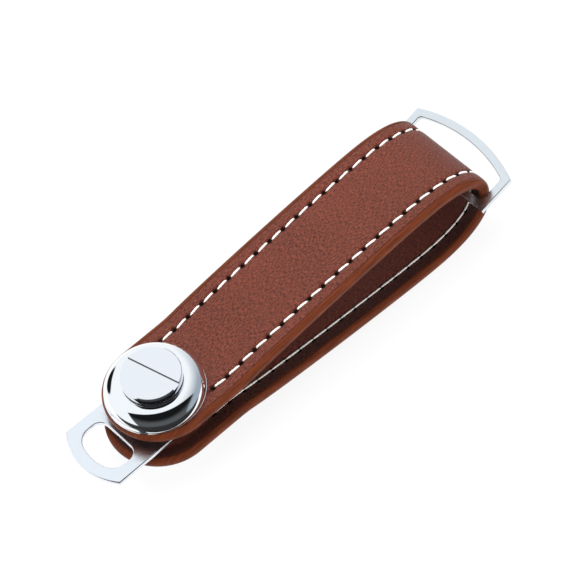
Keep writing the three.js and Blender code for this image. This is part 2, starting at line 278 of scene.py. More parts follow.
def leather_material(name, face, edge, hole, roughness, grain):
    """Boarded grain: short fine ridges along the strap over a pebble, with mottled colour. The edges are
    painted smooth. The needle holes, the grooves along the rows, the creases beside the edge and the
    lining's strip beyond the bobbin row are darkened with painted shade from the hole colour."""
    material, tree, shader = start_material(name)
    coords = object_coords(tree)
    edge_mask = add(tree, "ShaderNodeAttribute", attribute_name="edge").outputs["Fac"]
    painted_shade_mask = add(tree, "ShaderNodeAttribute", attribute_name="hole").outputs["Fac"]
    broad = noise(tree, coords, 60.0, 2.0)
    ridges = noise(tree, strap_coords(tree, 1.25, 4.4), 1.0, 1.0, 0.5)
    pebbles = noise(tree, strap_coords(tree, 3.0, 4.4), 1.0, 1.0, 0.5)
    tone = math_node(tree, "MULTIPLY", spread(tree, ridges, 0.44, 0.56), 0.55)
    tone = math_node(tree, "MULTIPLY_ADD", spread(tree, pebbles, 0.44, 0.56), 0.35, tone)
    tone = math_node(tree, "MULTIPLY_ADD", spread(tree, broad, 0.35, 0.65), 0.1, tone)
    dark = [0.34 * c for c in face] + [1.0]
    light = [1.62 * face[0], 1.62 * face[1], 1.66 * face[2], 1.0]
    face_colour = mix_colour(tree, tone, dark, light)
    streaks = noise(tree, strap_coords(tree, 0.15, 2.0), 1.0, 3.0, 0.6)
    edge_dark = [0.6 * c for c in edge] + [1.0]
    edge_light = [1.25 * c for c in edge] + [1.0]
    edge_colour = mix_colour(tree, spread(tree, streaks, 0.3, 0.7), edge_dark, edge_light)
    colour = mix_colour(tree, edge_mask, face_colour, edge_colour)
    # Painted shade: the hole colour darkens needle holes, row grooves, creases and the lining's strip.
    colour = mix_colour(tree, painted_shade_mask, colour, (*hole, 1.0))
    tree.links.new(colour, shader.inputs["Base Color"])
    gloss = math_node(tree, "MULTIPLY_ADD", pebbles, 0.2, roughness - 0.1)
    gloss = math_node(tree, "MULTIPLY_ADD", edge_mask, -0.1, gloss)
    tree.links.new(gloss, shader.inputs["Roughness"])
    tree.links.new(spread(tree, edge_mask, 0.0, 1.0, 0.3, 0.12), shader.inputs["Specular IOR Level"])
    height = math_node(tree, "MULTIPLY_ADD", ridges, 0.7, math_node(tree, "MULTIPLY", pebbles, 0.6))
    height = math_node(tree, "MULTIPLY", height, math_node(tree, "MULTIPLY_ADD", edge_mask, -0.8, 1.0))
    bump = add(tree, "ShaderNodeBump", {"Height": height, "Strength": grain, "Distance": 0.25 * MM})
    tree.links.new(bump.outputs["Normal"], shader.inputs["Normal"])
    return material


def thread_material():
    """Waxed off-white thread: slanted plies across its own length."""
    material, tree, shader = start_material("thread")
    along = add(tree, "ShaderNodeUVMap", uv_map="along").outputs["UV"]
    parts = add(tree, "ShaderNodeSeparateXYZ", {"Vector": along})
    twist = math_node(tree, "MULTIPLY_ADD", parts.outputs["X"], 5.0, parts.outputs["Y"])
    ply = math_node(tree, "PINGPONG", twist, 0.5)
    fuzz = noise(tree, object_coords(tree), 2500.0, 2.0)
    colour = mix_colour(tree, spread(tree, ply, 0.0, 0.25), (0.62, 0.57, 0.5, 1.0), (0.95, 0.93, 0.88, 1.0))
    colour = mix_colour(tree, spread(tree, fuzz, 0.3, 0.8, 0.0, 0.25), colour, (0.75, 0.7, 0.62, 1.0))
    tree.links.new(colour, shader.inputs["Base Color"])
    shader.inputs["Roughness"].default_value = 0.7
    bump = add(tree, "ShaderNodeBump", {"Height": ply, "Strength": 0.6, "Distance": 0.15 * MM})
    tree.links.new(bump.outputs["Normal"], shader.inputs["Normal"])
    return material


def chrome_material(name, colour, roughness):
    """Polished plating with faint wiping marks in its gloss."""
    material, tree, shader = start_material(name)
    shader.inputs["Base Color"].default_value = colour
    shader.inputs["Metallic"].default_value = 1.0
    marks = noise(tree, object_coords(tree), 260.0, 4.0, 0.65)
    tree.links.new(
        spread(tree, marks, 0.35, 0.75, roughness * 0.85, roughness * 1.25), shader.inputs["Roughness"]
    )
    return material


def rubber_material():
    """Matt black rubber with a faint moulded tooth."""
    material, tree, shader = start_material("rubber")
    tooth = noise(tree, object_coords(tree), 1800.0, 2.0)
    tree.links.new(
        mix_colour(tree, tooth, (0.008, 0.008, 0.008, 1.0), (0.02, 0.02, 0.02, 1.0)),
        shader.inputs["Base Color"],
    )
    shader.inputs["Roughness"].default_value = 0.75
    return material


# Strap.


def strap_path():
    """Outer face of the strap in side view, from the upper end round the fold to the lower end.

    Level to the cap's edge, a quadratic Bezier bend, a cubic Bezier rise to the belly, and a
    quarter of a superellipse to the nose; the lower band is its mirror image and reaches further.
    """
    t = np.linspace(0, 1, 600)[:, None]
    rise_x = LAND_END_X + BEND_LENGTH
    rise_z = CLAMP_HEIGHT + BEND_LENGTH / 2 * RISE_SLOPE
    land = np.linspace((END_CENTRE_X, CLAMP_HEIGHT), (LAND_END_X, CLAMP_HEIGHT), 80)
    bend = (1 - t) ** 2 * np.array([LAND_END_X, CLAMP_HEIGHT])
    bend = bend + 2 * t * (1 - t) * np.array([LAND_END_X + BEND_LENGTH / 2, CLAMP_HEIGHT])
    bend = bend + t**2 * np.array([rise_x, rise_z])
    rise = (1 - t) ** 3 * np.array([rise_x, rise_z])
    rise = rise + 3 * t * (1 - t) ** 2 * np.array([rise_x + RISE_PULL, rise_z + RISE_PULL * RISE_SLOPE])
    rise = rise + 3 * t**2 * (1 - t) * np.array([BELLY_X - RISE_PULL, BELLY_HEIGHT])
    rise = rise + t**3 * np.array([BELLY_X, BELLY_HEIGHT])
    angle = t * math.pi / 2
    fold_x = BELLY_X + (NOSE_X - BELLY_X) * np.sin(angle) ** (2 / FOLD_FULLNESS)
    fold_z = BELLY_HEIGHT * np.clip(np.cos(angle), 0, 1) ** (2 / FOLD_FULLNESS)
    upper = np.vstack([land[:-1], bend[:-1], rise[:-1], np.hstack([fold_x, fold_z])])
    lower = (upper * [1, -1])[::-1]
    lower_end = [[END_CENTRE_X - LOWER_END_REACH, -CLAMP_HEIGHT]]
    return np.vstack([upper, lower[1:], lower_end])


path = strap_path()
path_run = np.concatenate([[0], np.cumsum(np.hypot(*np.diff(path, axis=0).T))])
strap_length = path_run[-1]
even_run = np.linspace(0, strap_length, 3000)
even_path = np.stack([np.interp(even_run, path_run, path[:, k]) for k in (0, 1)], -1)
tangent = np.gradient(even_path, even_run, axis=0)
tangent /= np.linalg.norm(tangent, axis=1)[:, None]


def on_strap(along, across, depth):
    """Carries flat strap coordinates onto the fold: the point of the outer face at that run along
    the path, moved inwards by depth along the face's normal. Past its ends it goes straight on."""
    run = np.clip(along, 0, strap_length)
    x, z = (np.interp(run, even_run, even_path[:, k]) for k in (0, 1))
    tx, tz = (np.interp(run, even_run, tangent[:, k]) for k in (0, 1))
    size = np.hypot(tx, tz)
    past = np.abs(along - run)
    x = x - past + tz / size * depth
    z = z - tx / size * depth
    return np.stack(np.broadcast_arrays(x, across, z + MIDDLE_Z), -1)


stitch_count = int((strap_length - UNSEWN_LENGTH) / STITCH_PITCH) // 2 * 2
stitch_start = (strap_length - stitch_count * STITCH_PITCH) / 2
hole_runs = stitch_start + STITCH_PITCH * np.arange(stitch_count + 1)


def outline_columns():
    """Columns round the strap's flat outline, each as a place along it and a direction outwards.

    A point at half width w is (along + out_along * w, out_across * w): straight out on the two
    long sides, and round a half circle at the two ends.
    """
    phase = np.array([0, 0.05, 0.1, 0.16, 0.28, 0.5, 0.72, 0.84, 0.9, 0.95])
    sewn = (hole_runs[:-1, None] + STITCH_PITCH * phase).ravel()
    start = np.linspace(0, stitch_start, 8)[:-1]
    side = np.concatenate([start, sewn, strap_length - start[::-1]])
    side = np.unique(np.round(side, 9))
    turn = np.linspace(0, math.pi, 49)[1:-1]
    zero, one = np.zeros_like(side), np.ones_like(side)
    along = np.concatenate([side, np.full_like(turn, strap_length), side[::-1], np.zeros_like(turn)])
    out_along = np.concatenate([zero, np.sin(turn), zero, -np.sin(turn)])
    out_across = np.concatenate([one, np.cos(turn), -one, -np.cos(turn)])
    return along, out_along, out_across


def quarter(start, corner, end, steps):
    """A rounded corner from start to end as a quarter ellipse bulging towards corner."""
    angle = np.linspace(0, math.pi / 2, steps)[:, None]
    start, corner, end = (np.asarray(p, float) for p in (start, corner, end))
    return corner + (start - corner) * (1 - np.sin(angle)) + (end - corner) * (1 - np.cos(angle))


def leather_section():
    """Half cross-section of the outer leather as (half width, depth), from the middle of its outer
    face over the crease and the beaded edge to the middle of its glued face.

    Returns it with two masks: edge paint, and the painted shade in the crease.
    """
    face = [0, 2.2, 4.2, 5.8, 6.8, 7.4, 7.8, 8.05, 8.25, 8.45, 8.6, 8.75, 8.95, 9.15, 9.4, 9.75, 10.4, 11.0]
    face = np.stack([np.array(face) * MM, np.zeros(len(face))], -1)
    crease = np.array([[11.2, 0.02], [11.34, 0.08], [11.44, 0.08]]) * MM
    bead = quarter((BEAD_START, 0.04 * MM), (HALF_WIDTH, 0.04 * MM), (HALF_WIDTH, 1.2 * MM), 10)
    seam = np.array([[12.6, 1.445], [12.3, 1.445], [12.1, 1.4]]) * MM
    back = np.array([[8 * MM, LEATHER_DEPTH], [4 * MM, LEATHER_DEPTH], [0, LEATHER_DEPTH]])
    painted = len(bead) + len(seam) + len(back)
    paint = np.concatenate([np.zeros(len(face)), [0.1, 0.5, 0.8], np.ones(painted)])
    # Painted shade: the crease beside the bead is darkened in the colour.
    shade = np.concatenate([np.zeros(len(face)), [0.12, 0.4, 0.4], np.zeros(painted)])
    return np.vstack([face, crease, bead, seam, back]), paint, shade


def lining_section():
    """Half cross-section of the lining, from its glued face over the beaded edge to its inner face."""
    back = np.array([[0, LINING_START], [4 * MM, LINING_START], [8 * MM, LINING_START]])
    seam = np.array([[12.1, 1.5], [12.3, 1.455], [12.6, 1.455]]) * MM
    low = STRAP_DEPTH - 0.03 * MM
    bead = quarter((HALF_WIDTH, 1.55 * MM), (HALF_WIDTH, low), (BEAD_START, low), 10)
    crease = np.array([[11.42, 2.63], [11.3, 2.64], [11.18, 2.68]]) * MM
    face = [11.0, 10.3, 9.75, 9.4, 9.15, 8.95, 8.75, 8.6, 8.45, 8.25, 8.05, 7.8, 7, 5, 2.5, 0]
    face = np.stack([np.array(face) * MM, np.full(len(face), STRAP_DEPTH)], -1)
    painted = len(back) + len(seam) + len(bead)
    paint = np.concatenate([np.ones(painted), [0.8, 0.5, 0.1], np.zeros(len(face))])
    # Painted shade: the inner face beyond the bobbin row and the crease are darkened in the colour.
    margin_shade = np.interp(face[:, 0], [8.8 * MM, 9.5 * MM], [0.0, 0.62])
    shade = np.concatenate([np.zeros(painted), [0.4, 0.55, 0.62], margin_shade])
    return np.vstack([back, seam, bead, crease, face]), paint, shade


def strap_layer(name, section, paint, shade, sewn_depth, inwards, material):
    """One layer of the strap: its half cross-section carried round the flat outline and folded.

    Along the rows the face dips by a Gaussian groove, and at each needle hole by a deeper pit,
    so depth = section depth + groove(y) + pit(y, distance to the nearest hole). A bore goes through
    both ends for the post.
    """
    along, out_along, out_across = outline_columns()
    half_width, depth = section[:, 0, None], section[:, 1, None]
    run = along + out_along * half_width
    across = out_across * half_width
    off_row = np.exp(-(((np.abs(across) - ROW_Y) / GROOVE_REACH) ** 2))
    nearest = np.abs(run[..., None] - hole_runs).min(-1)
    sewn = (run > hole_runs[0] - STITCH_PITCH / 2) & (run < hole_runs[-1] + STITCH_PITCH / 2)
    on_face = np.abs(depth - sewn_depth) < 1e-9
    pit = np.exp(-((nearest / HOLE_REACH) ** 2) - ((np.abs(across) - ROW_Y) / HOLE_REACH) ** 2)
    dip = (GROOVE_DEPTH * off_row + HOLE_DEPTH * pit) * sewn * on_face
    points = on_strap(run, across, depth + (-dip if inwards else dip))
    quads, _ = grid_quads(*run.shape, columns_closed=True)
    # Painted shade: the needle pits and the grooves along the rows are darkened in the colour, joined with
    # the section's painted shade in the hole mask.
    dark = np.clip(pit * 1.7 + 0.45 * off_row**2, 0, 1) * sewn * on_face
    masks = {"edge": np.broadcast_to(paint[:, None], run.shape), "hole": np.maximum(dark, shade[:, None])}
    uv = np.stack([run.ravel()[quads], across.ravel()[quads]], -1) / MM
    piece = build(name, points, quads, material, masks, uv, crease=60)
    bore(piece)
    return piece


def bore(piece):
    """Cuts the post's hole through a strap layer."""
    profile = [[0, 0], [BORE_RADIUS, 0], [BORE_RADIUS, BORE_LENGTH], [0, BORE_LENGTH]]
    cutter = lathe("bore", profile, piece.data.materials[0], 48)
    cut = piece.modifiers.new("bore", "BOOLEAN")
    cut.operation = "DIFFERENCE"
    cut.solver = "EXACT"
    cut.object = cutter
    evaluated = bpy.context.evaluated_depsgraph_get()
    bored = bpy.data.meshes.new_from_object(piece.evaluated_get(evaluated))
    piece.modifiers.clear()
    piece.data = bored
    bpy.data.objects.remove(cutter)


def stitch_row(name, material, width, height, face_depth, inwards, reach, slant, rise, plunge):
    """All stitches of one face: capsules with an elliptical section, from hole to hole.

    A ring at place p in -1..1 along a stitch has the radius (1 - |p|^6)^(1/2), and its middle
    lies above the groove's floor by the rise and sinks into the hole with |p|^5.
    """
    p = np.array([-1, -0.97, -0.86, -0.6, -0.2, 0.2, 0.6, 0.86, 0.97, 1.0])
    turn = np.linspace(0, 2 * math.pi, 8, endpoint=False)
    radius = np.sqrt(np.clip(1 - np.abs(p) ** 6, 0, 1))
    sink = np.abs(p) ** 5
    sign = -1.0 if inwards else 1.0
    middle = (hole_runs[:-1] + hole_runs[1:]) / 2
    run = middle[:, None, None] + (p * reach / 2)[:, None]
    across = radius[:, None] * np.cos(turn) * width / 2
    seat = face_depth + sign * (GROOVE_DEPTH - rise + sink[:, None] * plunge)
    depth = seat + sign * radius[:, None] * np.sin(turn) * height / 2
    shape = (len(middle), len(p), len(turn))
    rows = [
        on_strap(
            np.broadcast_to(run, shape),
            np.broadcast_to(side * (ROW_Y + across + (p * slant)[:, None]), shape),
            np.broadcast_to(depth, shape),
        )
        for side in (1, -1)
    ]
    quads, steps = grid_quads(len(p), len(turn), columns_closed=True)
    size = len(p) * len(turn)
    shift = size * np.arange(len(middle))[:, None, None]
    uv = np.stack([p[steps[:, :, 0]] * 0.5 + 0.5, steps[:, :, 1] / len(turn)], -1)
    uv = np.tile(uv, (len(middle), 1, 1))
    all_quads = (quads[None] + shift).reshape(-1, 4)
    all_quads = np.vstack([all_quads, all_quads + size * len(middle)])
    uv = np.concatenate([uv, uv])
    return build(name, np.stack(rows), all_quads, material, uv=uv, crease=180, merge=1e-7)


# Lock.


def lathe(name, profile, material, segments=144, crease=35):
    """A closed profile of (radius, height) turned about the bolt's axis."""
    profile = np.asarray(profile, float)
    angle = np.linspace(0, 2 * math.pi, segments, endpoint=False)
    radius, height = profile[:, 0, None], profile[:, 1, None]
    points = np.stack(np.broadcast_arrays(radius * np.cos(angle), radius * np.sin(angle), height), -1)
    quads, _ = grid_quads(*points.shape[:2], rows_closed=True, columns_closed=True)
    return build(name, points, quads, material, crease=crease)


def cap_profile():
    """Lip, steep wall and rounded shoulder as a quarter superellipse, a low collar and the bore."""
    t = np.linspace(0, math.pi / 2, 48)
    out = np.clip(np.cos(t), 0, 1) ** (2 / DOME_FULLNESS)
    up = np.sin(t) ** (2 / DOME_FULLNESS)
    radius = COLLAR_RADIUS + (CAP_SHOULDER - COLLAR_RADIUS) * out
    dome = np.stack([radius, CAP_LIP + (DOME_HEIGHT - CAP_LIP) * up], -1)
    in_by, down_by = CAP_LIP_ROUNDING
    lip = quarter(
        (CAP_RADIUS, CAP_LIP - down_by), (CAP_RADIUS, CAP_LIP), (CAP_RADIUS - in_by, CAP_LIP), 5
    )
    rim = quarter(
        (COLLAR_RADIUS, CAP_HEIGHT - COLLAR_ROUNDING),
        (COLLAR_RADIUS, CAP_HEIGHT),
        (COLLAR_RADIUS - COLLAR_ROUNDING, CAP_HEIGHT),
        6,
    )
    base, bore_top = [[BORE_RADIUS, 0], [CAP_RADIUS, 0]], [[BORE_RADIUS, CAP_HEIGHT]]
    return np.vstack([base, lip, dome, rim, bore_top])


def ring_profile(outer, inner, low, high, edge):
    """A flat turned ring with its two outer edges rounded."""
    return np.vstack(
        [
            [[inner, low]],
            quarter((outer - edge, low), (outer, low), (outer, low + edge), 5),
            quarter((outer, high - edge), (outer, high), (outer - edge, high), 5),
            [[inner, high]],
        ]
    )


def post_profile():
    """Flat foot with rounded edges, barrel, and the blind bore that takes the shank."""
    foot = ring_profile(POST_HEAD_RADIUS, 0, 0, POST_HEAD_TOP, POST_HEAD_ROUNDING)[:-1]
    barrel = [[BARREL_RADIUS, POST_HEAD_TOP], [BARREL_RADIUS, BARREL_TOP], [BARREL_BORE, BARREL_TOP]]
    return np.vstack([foot, barrel, [[BARREL_BORE, BARREL_FLOOR], [0, BARREL_FLOOR]]])


def lock_screw(material, painted_slot_shade):
    """Slotted disc head on a plain shank.

    Above the slot's floor, two half moons: each row runs between the slot's straight wall and an
    arc, so a point is (1 - k) * wall + k * arc. Below, the rim's points go down to the shank's tip.
    """
    low, top = HEAD_Z
    chamfer_radius = HEAD_RADIUS - HEAD_CHAMFER
    count = 72

    def arc(radius, offset):
        end = math.asin(offset / radius)
        angle = np.linspace(end, math.pi - end, count)
        return np.stack([radius * np.cos(angle), radius * np.sin(angle)], -1)

    def wall(radius, offset):
        x = arc(radius, offset)[:, 0]
        return np.stack([x, np.full(count, offset)], -1)

    def row(plan, height):
        return np.column_stack([plan, np.full(count, height)])

    slot_edge = SLOT_HALF_WIDTH + HEAD_EDGE
    wall_top, arc_top = wall(chamfer_radius, slot_edge), arc(chamfer_radius, slot_edge)
    face = [row((1 - k) * wall_top + k * arc_top, top) for k in np.linspace(0, 1, 8)]
    moon = [
        row(wall(HEAD_RADIUS, SLOT_HALF_WIDTH), SLOT_FLOOR),
        row(wall(HEAD_RADIUS, SLOT_HALF_WIDTH), top - HEAD_CHAMFER),
        row(wall(chamfer_radius + HEAD_EDGE, SLOT_HALF_WIDTH), top - HEAD_EDGE),
        *face,
        row(arc(chamfer_radius + HEAD_EDGE, SLOT_HALF_WIDTH), top - HEAD_EDGE),
        row(arc(HEAD_RADIUS, SLOT_HALF_WIDTH), top - HEAD_CHAMFER),
        row(arc(HEAD_RADIUS, SLOT_HALF_WIDTH), SLOT_FLOOR),
    ]
    moon = np.stack(moon)
    quads, _ = grid_quads(*moon.shape[:2])
    mirror = moon * [-1, -1, 1]

    end = math.asin(SLOT_HALF_WIDTH / HEAD_RADIUS)
    gap = np.linspace(-end, end, 9)
    near = np.stack([HEAD_RADIUS * np.cos(gap), HEAD_RADIUS * np.sin(gap), np.full(9, SLOT_FLOOR)], -1)
    far = near * [-1, 1, 1]
    x = arc(HEAD_RADIUS, SLOT_HALF_WIDTH)[:, 0] / (HEAD_RADIUS * math.cos(end))
    weight = (x[:, None, None] + 1) / 2
    floor = far * (1 - weight) + near * weight
    floor_quads, _ = grid_quads(*floor.shape[:2])

    arc_angle = np.linspace(end, math.pi - end, count)
    angle = np.concatenate([gap[:-1], arc_angle[:-1], gap[:-1] + math.pi, arc_angle[:-1] + math.pi])
    profile = np.vstack(
        [
            [[HEAD_RADIUS, SLOT_FLOOR]],
            quarter(
                (HEAD_RADIUS, low + HEAD_FOOT_ROUNDING),
                (HEAD_RADIUS, low),
                (HEAD_RADIUS - HEAD_FOOT_ROUNDING, low),
                4,
            ),
            [[SHANK_RADIUS, low], [SHANK_RADIUS, SHANK_TIP + SHANK_CHAMFER]],
            [[SHANK_RADIUS - SHANK_CHAMFER, SHANK_TIP], [0, SHANK_TIP]],
        ]
    )
    radius, height = profile[:, 0, None], profile[:, 1, None]
    body = np.stack(np.broadcast_arrays(radius * np.cos(angle), radius * np.sin(angle), height), -1)
    body_quads, _ = grid_quads(*body.shape[:2], columns_closed=True)

    sheets = [(moon, quads), (mirror, quads), (floor, floor_quads), (body, body_quads)]
    offsets = np.cumsum([0] + [s.shape[0] * s.shape[1] for s, _ in sheets])
    points = np.vstack([s.reshape(-1, 3) for s, _ in sheets])
    faces = np.vstack([q + o for (_, q), o in zip(sheets, offsets)])
    c, s = math.cos(SLOT_TURN + math.pi / 2), math.sin(SLOT_TURN + math.pi / 2)
    points[:, :2] = points[:, :2] @ np.array([[c, s], [-s, c]])
    piece = build("slotted_screw", points, faces, material, crease=30, merge=2e-6)
    piece.data.materials.append(painted_slot_shade)
    middles, sides = (np.zeros(3 * len(piece.data.polygons)) for _ in range(2))
    piece.data.polygons.foreach_get("center", middles)
    piece.data.polygons.foreach_get("normal", sides)
    middles, sides = middles.reshape(-1, 3), sides.reshape(-1, 3)
    off_slot = np.abs(middles[:, :2] @ np.array([-s, c]))
    cut_wall = (np.abs(off_slot - SLOT_HALF_WIDTH) < 1e-5) & (np.abs(sides @ np.array([-s, c, 0])) > 0.99)
    # The slot's cut walls take the second, dark material: painted shade in the slot.
    piece.data.polygons.foreach_set("material_index", cut_wall.astype(np.int32))
    return piece


# Plates.


def bow(corner_x, half_width, bulge, inside=0.0):
    """Radius and middle of the arc through both corners and the bulge, or of one parallel to it."""
    radius = (half_width**2 + bulge**2) / (2 * bulge)
    return radius - inside, corner_x + bulge - radius


def bow_points(radius, middle_x, half_width, count):
    angle = math.asin(half_width / radius)
    turn = np.linspace(-angle, angle, count)
    return np.stack([middle_x + radius * np.cos(turn), radius * np.sin(turn)], -1)


def arc_points(x, y, radius, start, end, count):
    turn = np.radians(np.linspace(start, end, count))
    return np.stack([x + radius * np.cos(turn), y + radius * np.sin(turn)], -1)


def bend_points(start, corner, end, count):
    """A quadratic Bezier curve from start to end that leans to corner."""
    t = np.linspace(0, 1, count)[:, None]
    return (1 - t) ** 2 * np.array(start) + 2 * t * (1 - t) * np.array(corner) + t**2 * np.array(end)


def bowed_hole(inner_x, half_width, radius, middle_x, rounding):
    """A hole with a straight inner edge, straight sides, a bowed outer edge and rounded corners."""
    side_x = middle_x + math.sqrt(radius**2 - half_width**2)
    rounding = min(rounding, (side_x - inner_x) / 2, half_width / 2)
    bow_y = half_width - rounding
    bow_x = middle_x + math.sqrt(radius**2 - bow_y**2)
    return np.vstack(
        [
            arc_points(inner_x + rounding, -bow_y, rounding, 180, 270, 10),
            bend_points((side_x - rounding, -half_width), (side_x, -half_width), (bow_x, -bow_y), 10),
            bow_points(radius, middle_x, bow_y, 40)[1:-1],
            bend_points((bow_x, bow_y), (side_x, half_width), (side_x - rounding, half_width), 10),
            arc_points(inner_x + rounding, bow_y, rounding, 90, 180, 10),
        ]
    )


def flat_plate(name, loops, thickness, transform, material):
    """A flat plate with rounded edges from its outline and its holes, all counterclockwise.

    Each loop moves into the plate by edge * (1 - cos t) while it rises by edge * sin t, and the
    two flat faces are filled between the loops.
    """
    t = np.linspace(0, math.pi / 2, 5)
    inset = PLATE_EDGE * (1 - np.cos(t))
    rise = thickness / 2 - PLATE_EDGE + PLATE_EDGE * np.sin(t)
    inset, rise = np.concatenate([inset[::-1], inset]), np.concatenate([-rise[::-1], rise])
    points, faces, tops = [], [], []
    for number, loop in enumerate(loops):
        before, after = loop - np.roll(loop, 1, 0), np.roll(loop, -1, 0) - loop
        before, after = (v / np.linalg.norm(v, axis=1)[:, None] for v in (before, after))
        normal = np.stack([-(before + after)[:, 1], (before + after)[:, 0]], -1)
        normal /= np.einsum("ij,ij->i", normal, np.stack([-after[:, 1], after[:, 0]], -1))[:, None]
        side = 1 if number == 0 else -1
        plan = loop + side * inset[:, None, None] * normal
        height = np.broadcast_to(rise[:, None, None], (*plan.shape[:2], 1))
        start = sum(len(p) for p in points)
        quads, _ = grid_quads(*plan.shape[:2], columns_closed=True)
        faces += (quads + start).tolist()
        points.append(np.concatenate([plan, height], -1).reshape(-1, 3))
        low_ring = start + np.arange(len(loop))
        tops.append((plan[-1], low_ring + (len(rise) - 1) * len(loop), low_ring))
    fill = np.array(tessellate_polygon([[Vector((x, y, 0)) for x, y in top] for top, _, _ in tops]))
    for which in (1, 2):
        faces += np.concatenate([t[which] for t in tops])[fill].tolist()
    points = np.vstack(points)
    points = np.column_stack([points, np.ones(len(points))]) @ np.array(transform).T
    piece = build(name, points[:, :3], faces, material, crease=50)
    sides = np.zeros(3 * len(piece.data.polygons))
    piece.data.polygons.foreach_get("normal", sides)
    level = np.abs(sides.reshape(-1, 3) @ np.array(transform)[:3, 2]) > 0.999
    piece.data.polygons.foreach_set("use_smooth", ~level)
    return piece


def key_plate(material):
    """Eye round the post, straight sides and a bowed end with a D-shaped hole, towards -X."""
    outer = bow(PLATE_REACH, PLATE_HALF_WIDTH, PLATE_BULGE)
    inner = bow(PLATE_REACH, PLATE_HALF_WIDTH, PLATE_BULGE, PLATE_FRAME)
    outline = np.vstack(
        [
            bow_points(*outer, PLATE_HALF_WIDTH, 60),
            arc_points(0, 0, PLATE_HALF_WIDTH, 90, 270, 60),
        ]
    )
    eye = arc_points(0, 0, BORE_RADIUS, 0, 360, 49)[:-1]
    loop = bowed_hole(PLATE_HOLE_X, PLATE_HALF_WIDTH - PLATE_FRAME, *inner, PLATE_HOLE_ROUNDING)
    turn = Matrix.Translation((0, 0, MIDDLE_Z)) @ Matrix.Rotation(math.pi, 4, "Z")
    return flat_plate("polished_key_plate", [outline, eye, loop], PLATE_THICKNESS, turn, material)


def fold_ring(material):
    """Bar across the fold, two legs past the strap's edges and a bowed outer side, tilted up."""
    half_width = RING_INNER_HALF_WIDTH + RING_BAND
    outer = bow(RING_REACH, half_width, RING_BULGE)
    inner = bow(RING_REACH, half_width, RING_BULGE, RING_BAND)
    corners = np.array([[-RING_BAND / 2, half_width], [-RING_BAND / 2, -half_width]])
    outline = np.vstack([bow_points(*outer, half_width, 70), corners])
    loop = bowed_hole(RING_BAND / 2, RING_INNER_HALF_WIDTH, *inner, RING_HOLE_ROUNDING)
    turn = Matrix.Translation((RING_PIVOT_X, 0, MIDDLE_Z)) @ Matrix.Rotation(-RING_TILT, 4, "Y")
    return flat_plate("polished_fold_ring", [outline, loop], RING_THICKNESS, turn, material)


# Stage.


def toward(tree, direction, vector):
    """How far a direction points along a vector."""
    return add(
        tree, "ShaderNodeVectorMath", {0: direction, 1: vector}, operation="DOT_PRODUCT"
    ).outputs["Value"]


def studio_world():
    """White to the camera. To metal, a white tent open on the camera's side: the opening is dark,
    lighter towards the horizon, its upper edge is near the zenith and its left edge slants; the
    tent greys towards the right and has a dark seam on the far left. To everything else, even
    soft light."""
    world = bpy.data.worlds.new("studio")
    bpy.context.scene.world = world
    world.use_nodes = True
    tree = world.node_tree
    background = tree.nodes["Background"]
    direction = add(tree, "ShaderNodeTexCoord").outputs["Generated"]
    path_info = add(tree, "ShaderNodeLightPath")
    rightwards = toward(tree, direction, CAMERA_RIGHT)
    right = spread(tree, rightwards, 0.22, 0.85)
    white = mix_colour(tree, right, (0.93, 0.97, 1.0, 1.0), (0.34, 0.4, 0.47, 1.0))
    upper_edge = spread(tree, toward(tree, direction, (-0.5, -0.865, -0.05)), -0.04, 0.0)
    left_edge = spread(tree, toward(tree, direction, (-0.444, 0.833, -0.33)), 0.22, 0.25, 1.0, 0.0)
    right_edge = spread(tree, rightwards, 0.74, 0.86, 1.0, 0.0)
    opening = math_node(tree, "MULTIPLY", math_node(tree, "MULTIPLY", upper_edge, left_edge), right_edge)
    seam = spread(tree, toward(tree, direction, (-0.2, 0.94, 0.27)), 0.955, 0.97)
    height = spread(tree, toward(tree, direction, (0.0, 0.0, 1.0)), 0.4, 0.75)
    gloom = mix_colour(tree, height, (0.09, 0.095, 0.1, 1.0), OPENING_DARK)
    glossy = mix_colour(tree, opening, white, gloom)
    glossy = mix_colour(tree, seam, glossy, OPENING_DARK)
    soft = mix_colour(tree, path_info.outputs["Is Glossy Ray"], (0.62, 0.63, 0.65, 1.0), glossy)
    seen = mix_colour(tree, path_info.outputs["Is Camera Ray"], soft, (1.0, 1.0, 1.0, 1.0))
    tree.links.new(seen, background.inputs["Color"])


def floor_piece():
    """A pale floor that keeps the object's shadow and reads white to the camera. To metal it is white
    near the object and, in front of it under the tent's opening, painted near black: painted shade
    seen only in reflections."""
    corners = np.array([[-1, -1, 0], [1, -1, 0], [1, 1, 0], [-1, 1, 0]]) * FLOOR_HALF_SIZE
    mesh = bpy.data.meshes.new("floor")
    mesh.from_pydata((corners - [0, 0, FLOOR_DROP]).tolist(), [], [[0, 1, 2, 3]])
    material, tree, shader = start_material("floor")
    path_info = add(tree, "ShaderNodeLightPath")
    # Painted shade for metal: in reflections the floor in front of the object reads near black.
    front = spread(tree, toward(tree, object_coords(tree), CAMERA_SIDE), *FLOOR_FRONT)
    front = math_node(tree, "MULTIPLY", front, path_info.outputs["Is Glossy Ray"])
    paint = mix_colour(tree, front, (0.9, 0.9, 0.9, 1.0), (0.01, 0.01, 0.01, 1.0))
    tree.links.new(paint, shader.inputs["Base Color"])
    shader.inputs["Roughness"].default_value = 0.9
    seen = math_node(tree, "SUBTRACT", path_info.outputs["Is Glossy Ray"], front)
    seen = math_node(tree, "MAXIMUM", seen, path_info.outputs["Is Camera Ray"])
    seen = math_node(tree, "MAXIMUM", seen, path_info.outputs["Is Transmission Ray"])
    white = add(tree, "ShaderNodeEmission", {"Color": (1.0, 1.0, 1.0, 1.0), "Strength": 1.0})
    share = math_node(tree, "MULTIPLY", seen, 0.88)
    mixed = add(tree, "ShaderNodeMixShader", {0: share, 1: shader.outputs[0], 2: white.outputs[0]})
    tree.links.new(mixed.outputs[0], tree.nodes["Material Output"].inputs["Surface"])
    mesh.materials.append(material)
    piece = bpy.data.objects.new("floor", mesh)
    bpy.context.scene.collection.objects.link(piece)


